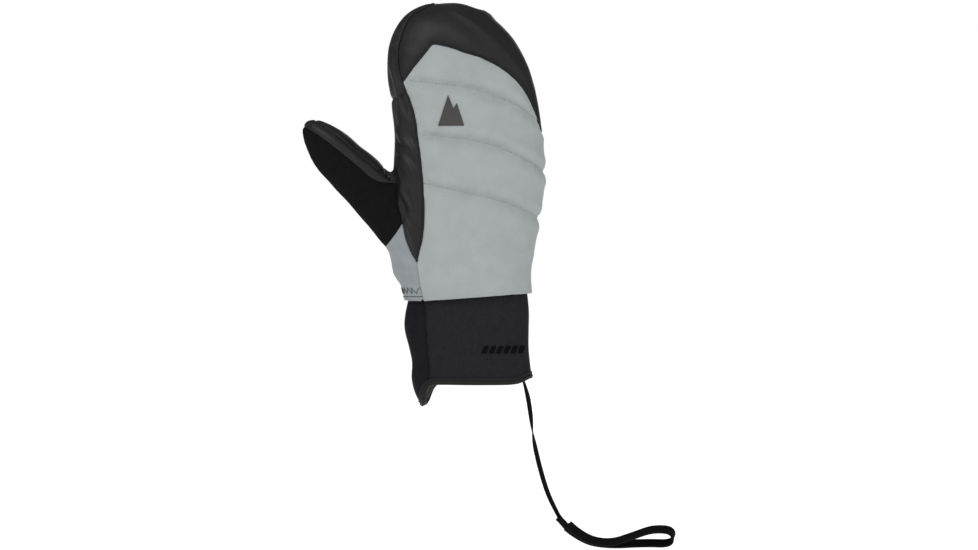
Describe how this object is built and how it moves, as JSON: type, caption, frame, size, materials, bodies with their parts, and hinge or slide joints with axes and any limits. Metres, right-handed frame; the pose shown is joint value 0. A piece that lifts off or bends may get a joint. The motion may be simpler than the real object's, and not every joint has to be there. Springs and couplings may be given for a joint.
{
  "type": "ski mitten",
  "caption": "Padded right-hand ski mitten with quilted back, leather fingertips and palm, elastic cuff and a wrist leash.",
  "frame": {"origin": "centre of the cuff opening, in the plane of its hem", "axes": "+Z from the cuff opening to the fingertips, +Y from the back of the hand to the palm, the thumb towards -X"},
  "size_m": [0.2821, 0.0585, 0.411],
  "materials": {
    "shell_fabric": "matte woven softshell, light grey",
    "gusset_fabric": "matte woven softshell, light grey",
    "leather": "smooth black leather, fine grain, soft sheen",
    "suede": "matte black brushed suede",
    "piping": "rolled black leather piping",
    "insulation": "lofted synthetic fill",
    "membrane": "thin waterproof film",
    "lining": "brushed tricot fleece",
    "neoprene": "matte knit faced neoprene, near black",
    "binding": "grey-brown leather look binding",
    "elastic": "woven elastic",
    "print": "dark grey rubber print",
    "webbing": "black woven webbing"
  },
  "bodies": {
    "cuff": {"cuff_back_panel": "neoprene", "cuff_palm_panel": "neoprene", "cuff_lining": "lining", "hem_binding": "binding", "cuff_emboss": "neoprene", "leash_anchor_tab": "webbing", "leash_tape": "webbing", "wrist_loop": "webbing", "loop_keeper": "webbing"},
    "hand": {"back_shell_hand": "shell_fabric", "thumb_gusset": "gusset_fabric", "palm_leather_hand": "leather", "index_strip_hand": "leather", "palm_patch": "suede", "strip_piping_hand": "piping", "wrist_elastic": "elastic", "back_insulation_hand": "insulation", "palm_insulation_hand": "insulation", "membrane_hand": "membrane", "lining_hand": "lining"},
    "fingers": {"back_shell_fingers": "shell_fabric", "tip_cap": "leather", "palm_leather_fingers": "leather", "index_strip_fingers": "leather", "strip_piping_fingers": "piping", "cap_piping": "piping", "emblem": "print", "back_insulation_fingers": "insulation", "palm_insulation_fingers": "insulation", "membrane_fingers": "membrane", "lining_fingers": "lining"},
    "thumb": {"thumb_suede": "suede", "thumb_top_leather": "leather", "thumb_palm_leather": "leather", "thumb_insulation": "insulation", "thumb_membrane": "membrane", "thumb_lining": "lining"}
  },
  "joints": [
    {"name": "wrist_flex", "type": "hinge", "parent": "cuff", "child": "hand", "pos_m": [0, 0, 0.066], "axis": [1, 0, 0], "range_deg": [-15, 15], "stiffness_Nm_per_rad": 0.8},
    {"name": "finger_flex", "type": "hinge", "parent": "hand", "child": "fingers", "pos_m": [0.0085, 0.0288, 0.1721], "axis": [-0.964, 0, 0.2659], "range_deg": [0, 60], "stiffness_Nm_per_rad": 0.05},
    {"name": "thumb_swing", "type": "hinge", "parent": "hand", "child": "thumb", "pos_m": [-0.0585, 0.005, 0.1515], "axis": [0, 1, 0], "range_deg": [0, 30], "stiffness_Nm_per_rad": 0.02}
  ]
}
